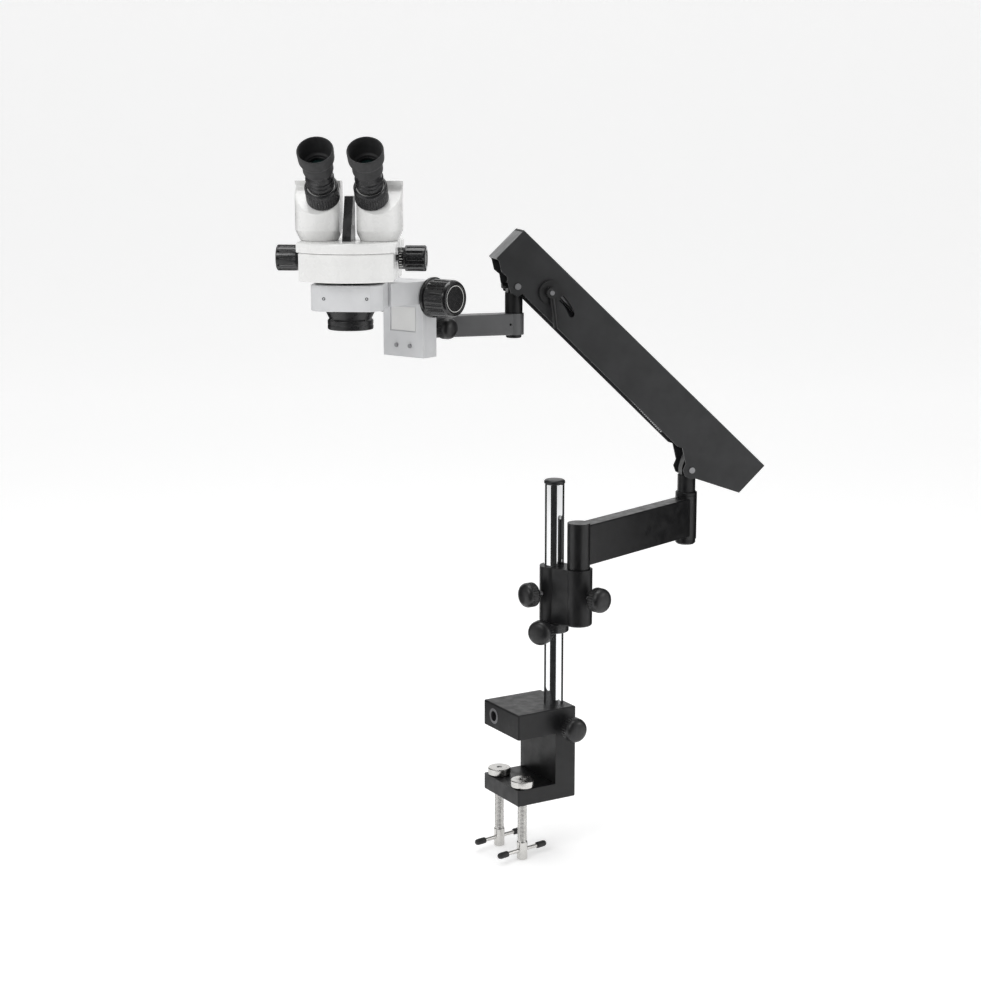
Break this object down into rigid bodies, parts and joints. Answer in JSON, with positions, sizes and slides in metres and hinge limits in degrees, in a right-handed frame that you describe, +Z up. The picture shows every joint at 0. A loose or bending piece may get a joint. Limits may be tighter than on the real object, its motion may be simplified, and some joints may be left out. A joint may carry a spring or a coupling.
{
  "type": "stereo microscope",
  "caption": "Stereo zoom microscope on a spring-balanced articulating arm with a chrome pillar and a table clamp; pivots, focus, zoom and eyepieces all move.",
  "frame": {"origin": "centre of the upper jaw's underside, the face that rests on the table top", "axes": "+Z up along the pillar, -X toward the jaw's mouth where the table edge comes in, +Y completes the right-handed frame"},
  "size_m": [0.6561, 0.2831, 0.902],
  "materials": {
    "black_casting": "satin black paint",
    "chrome_plate": "polished",
    "machined_steel": "machined",
    "stainless": "turned",
    "spring_steel": "drawn wire",
    "knob_plastic": "moulded",
    "drive_plastic": "ribbed moulding",
    "grip_rubber": "matte",
    "eyecup_rubber": "soft matte",
    "eyepiece_black": "anodised black",
    "beam_paint": "fine textured dark grey",
    "arm_paint": "satin grey black",
    "grey_paint": "light grey enamel",
    "white_paint": "white enamel",
    "label_stock": "plain",
    "optical_glass": "coated"
  },
  "bodies": {
    "clamp": {"clamp_frame": "black_casting", "accessory_socket": "machined_steel", "pillar": "chrome_plate", "pillar_cap": "knob_plastic"},
    "lock_knob": {"pillar_lock_knob": "knob_plastic"},
    "pad_front": {"clamp_pad_front": "stainless"},
    "screw_front": {"clamp_screw_front": "stainless", "bar_grips_front": "grip_rubber"},
    "pad_rear": {"clamp_pad_rear": "stainless"},
    "screw_rear": {"clamp_screw_rear": "stainless", "bar_grips_rear": "grip_rubber"},
    "collar": {"height_collar": "black_casting"},
    "collar_knob": {"collar_knob": "knob_plastic"},
    "carrier": {"carrier_block": "black_casting"},
    "post_knob": {"post_knob": "knob_plastic"},
    "arm_knob": {"arm_knob": "knob_plastic"},
    "lower_arm": {"lower_arm": "black_casting", "arm_spindle": "machined_steel"},
    "lower_knuckle": {"lower_knuckle": "black_casting"},
    "beam": {"beam_cover": "beam_paint", "beam_end_plates": "beam_paint", "beam_pins": "machined_steel", "tension_spring": "spring_steel"},
    "link": {"balance_link": "machined_steel", "lock_bolt": "knob_plastic", "lock_disc": "knob_plastic"},
    "lock_lever": {"lock_lever": "knob_plastic"},
    "upper_knuckle": {"upper_knuckle": "black_casting"},
    "front_arm": {"front_arm": "arm_paint"},
    "mount_knob": {"mount_knob": "knob_plastic"},
    "mount": {"mount_bracket": "black_casting", "focus_rail": "grey_paint"},
    "focus_drive": {"focus_pinion": "machined_steel", "focus_knob_left": "drive_plastic", "focus_knob_right": "drive_plastic"},
    "holder": {"focus_holder": "grey_paint", "label_plate": "label_stock", "focus_rack": "machined_steel", "holder_screws": "machined_steel"},
    "head": {"zoom_body_lower": "white_paint", "body_groove_ring": "eyepiece_black", "zoom_body_upper": "white_paint", "objective_cell": "eyepiece_black", "objective_lens": "optical_glass", "centre_plate": "eyepiece_black"},
    "zoom_drive": {"zoom_shaft": "machined_steel", "zoom_knob_left": "drive_plastic", "zoom_knob_right": "drive_plastic"},
    "housing_left": {"prism_housing_left": "white_paint", "prism_left": "optical_glass"},
    "diopter_left": {"diopter_ring_left": "eyepiece_black"},
    "eyepiece_left": {"eyepiece_left": "eyepiece_black", "eye_lens_left": "optical_glass", "eyecup_left": "eyecup_rubber"},
    "housing_right": {"prism_housing_right": "white_paint", "prism_right": "optical_glass"},
    "diopter_right": {"diopter_ring_right": "eyepiece_black"},
    "eyepiece_right": {"eyepiece_right": "eyepiece_black", "eye_lens_right": "optical_glass", "eyecup_right": "eyecup_rubber"}
  },
  "joints": [
    {"name": "pillar_lock_turn", "type": "hinge", "parent": "clamp", "child": "lock_knob", "pos_m": [0.043, -0.048, 0.008], "axis": [0, -1, 0], "range_deg": [0, 720]},
    {"name": "pad_front_rise", "type": "slide", "parent": "clamp", "child": "pad_front", "axis": [0, 0, 1], "range_m": [0, 0.05]},
    {"name": "screw_front_turn", "type": "hinge", "parent": "pad_front", "child": "screw_front", "pos_m": [-0.013, -0.028, 0], "axis": [0, 0, 1], "range_deg": [0, 10290]},
    {"name": "pad_rear_rise", "type": "slide", "parent": "clamp", "child": "pad_rear", "axis": [0, 0, 1], "range_m": [0, 0.05]},
    {"name": "screw_rear_turn", "type": "hinge", "parent": "pad_rear", "child": "screw_rear", "pos_m": [-0.013, 0.028, 0], "axis": [0, 0, 1], "range_deg": [0, 10290]},
    {"name": "collar_height", "type": "slide", "parent": "clamp", "child": "collar", "axis": [0, 0, 1], "range_m": [-0.08, 0.1]},
    {"name": "collar_knob_turn", "type": "hinge", "parent": "collar", "child": "collar_knob", "pos_m": [0.043, -0.0115, 0.13125], "axis": [-0.848, -0.5299, 0], "range_deg": [0, 720]},
    {"name": "carrier_swing", "type": "hinge", "parent": "collar", "child": "carrier", "pos_m": [0.043, -0.0115, 0], "axis": [0, 0, 1], "range_deg": [-20, 200]},
    {"name": "post_knob_turn", "type": "hinge", "parent": "carrier", "child": "post_knob", "pos_m": [0.043, -0.0115, 0.1758], "axis": [-0.9998, -0.0175, 0], "range_deg": [0, 720]},
    {"name": "arm_knob_turn", "type": "hinge", "parent": "carrier", "child": "arm_knob", "pos_m": [0.05804, -0.04421, 0.1758], "axis": [0.2079, -0.9781, 0], "range_deg": [0, 720]},
    {"name": "lower_arm_swing", "type": "hinge", "parent": "carrier", "child": "lower_arm", "pos_m": [0.05804, -0.04421, 0.2101], "axis": [0, 0, 1], "range_deg": [-205, 42]},
    {"name": "knuckle_swing", "type": "hinge", "parent": "lower_arm", "child": "lower_knuckle", "pos_m": [0.27808, 0.03242, 0.3047], "axis": [0, 0, 1], "range_deg": [-170, 170]},
    {"name": "beam_tilt", "type": "hinge", "parent": "lower_knuckle", "child": "beam", "pos_m": [0.27808, 0.03242, 0.3047], "axis": [0.2907, 0.9568, 0], "range_deg": [-54, 6]},
    {"name": "link_tilt", "type": "hinge", "parent": "lower_knuckle", "child": "link", "pos_m": [0.29139, 0.02838, 0.3475], "axis": [0.2907, 0.9568, 0], "range_deg": [-54, 6]},
    {"name": "lock_lever_turn", "type": "hinge", "parent": "link", "child": "lock_lever", "pos_m": [0.09196, 0.08897, 0.54245], "axis": [-0.2907, -0.9568, 0], "range_deg": [-40, 70]},
    {"name": "upper_level", "type": "hinge", "parent": "beam", "child": "upper_knuckle", "pos_m": [0.05184, 0.10116, 0.55041], "axis": [0.2907, 0.9568, 0], "range_deg": [-6, 54]},
    {"name": "front_swing", "type": "hinge", "parent": "upper_knuckle", "child": "front_arm", "pos_m": [0.05184, 0.10116, 0.48811], "axis": [0, 0, 1], "range_deg": [-110, 110]},
    {"name": "mount_knob_turn", "type": "hinge", "parent": "front_arm", "child": "mount_knob", "pos_m": [-0.05998, 0.128, 0.50161], "axis": [0.3256, -0.9455, 0], "range_deg": [0, 720]},
    {"name": "mount_swing", "type": "hinge", "parent": "front_arm", "child": "mount", "pos_m": [-0.05998, 0.128, 0], "axis": [0, 0, 1], "range_deg": [-110, 6]},
    {"name": "focus_travel", "type": "slide", "parent": "mount", "child": "holder", "axis": [0, 0, 1], "range_m": [-0.014, 0.026]},
    {"name": "focus_knob_turn", "type": "hinge", "parent": "mount", "child": "focus_drive", "pos_m": [-0.08598, 0.11818, 0.5425], "axis": [-0.3535, 0.9354, 0], "range_deg": [-161, 298]},
    {"name": "head_turn", "type": "hinge", "parent": "holder", "child": "head", "pos_m": [-0.19188, 0.07816, 0], "axis": [0, 0, 1], "continuous": true},
    {"name": "zoom_turn", "type": "hinge", "parent": "head", "child": "zoom_drive", "pos_m": [-0.19188, 0.07816, 0.596], "axis": [0.8211, -0.5707, 0], "range_deg": [-140, 140]},
    {"name": "housing_right_swing", "type": "hinge", "parent": "head", "child": "housing_right", "pos_m": [-0.16231, 0.05762, 0.6172], "axis": [0, 0, 1], "range_deg": [-2, 8]},
    {"name": "diopter_right_turn", "type": "hinge", "parent": "housing_right", "child": "diopter_right", "pos_m": [-0.17434, 0.05258, 0.6662], "axis": [-0.4036, -0.5806, 0.7071], "range_deg": [-150, 150]},
    {"name": "eyepiece_right_focus", "type": "slide", "parent": "housing_right", "child": "eyepiece_right", "axis": [-0.4036, -0.5806, 0.7071], "range_m": [-0.0021, 0.0021]},
    {"name": "housing_left_swing", "type": "hinge", "parent": "head", "child": "housing_left", "pos_m": [-0.22144, 0.09871, 0.6172], "axis": [0, 0, 1], "range_deg": [-8, 2]},
    {"name": "diopter_left_turn", "type": "hinge", "parent": "housing_left", "child": "diopter_left", "pos_m": [-0.22197, 0.08568, 0.6662], "axis": [-0.4036, -0.5806, 0.7071], "range_deg": [-150, 150]},
    {"name": "eyepiece_left_focus", "type": "slide", "parent": "housing_left", "child": "eyepiece_left", "axis": [-0.4036, -0.5806, 0.7071], "range_m": [-0.0021, 0.0021]}
  ],
  "couplings": [
    {"joint": "link_tilt", "follows": "beam_tilt", "ratio": 1},
    {"joint": "upper_level", "follows": "beam_tilt", "ratio": -1},
    {"joint": "focus_knob_turn", "follows": "focus_travel", "rad_per_m": 200},
    {"joint": "housing_left_swing", "follows": "housing_right_swing", "ratio": -1},
    {"joint": "screw_front_turn", "follows": "pad_front_rise", "rad_per_m": 3590.4},
    {"joint": "screw_rear_turn", "follows": "pad_rear_rise", "rad_per_m": 3590.4},
    {"joint": "eyepiece_left_focus", "follows": "diopter_left_turn", "m_per_rad": 0.0008},
    {"joint": "eyepiece_right_focus", "follows": "diopter_right_turn", "m_per_rad": 0.0008}
  ]
}
